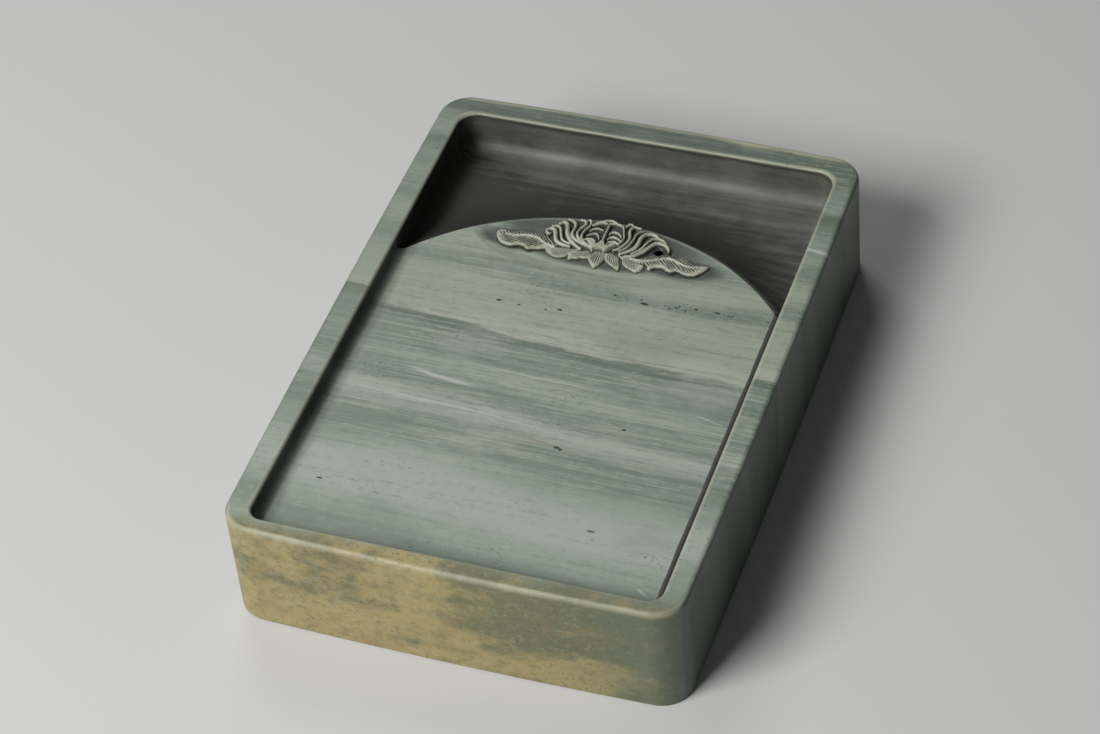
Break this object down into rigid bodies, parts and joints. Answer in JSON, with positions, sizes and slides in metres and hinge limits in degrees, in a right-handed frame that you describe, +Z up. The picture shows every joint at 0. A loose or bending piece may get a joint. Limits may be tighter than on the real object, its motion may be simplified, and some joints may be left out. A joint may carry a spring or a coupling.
{
  "type": "inkstone",
  "caption": "Rectangular carved stone inkstone with a sunken grinding floor, a deep ink well behind a curved bank, and a lotus carved in relief on the bank.",
  "frame": {"origin": "middle of the flat underside", "axes": "+Z up out of the basin, +Y from the grinding end to the ink well, +X to the right with the well away from the writer"},
  "size_m": [0.142, 0.2, 0.04],
  "materials": {
    "banded_green_stone": "hand-rubbed satin, banded green with an ochre skin on the front face and ink stain in the well",
    "carved_pale_stone": "hand-carved satin, pale on the ridges with ink in the cuts"
  },
  "bodies": {
    "root": {"stone_block": "banded_green_stone", "carved_lotus": "carved_pale_stone"}
  },
  "joints": []
}
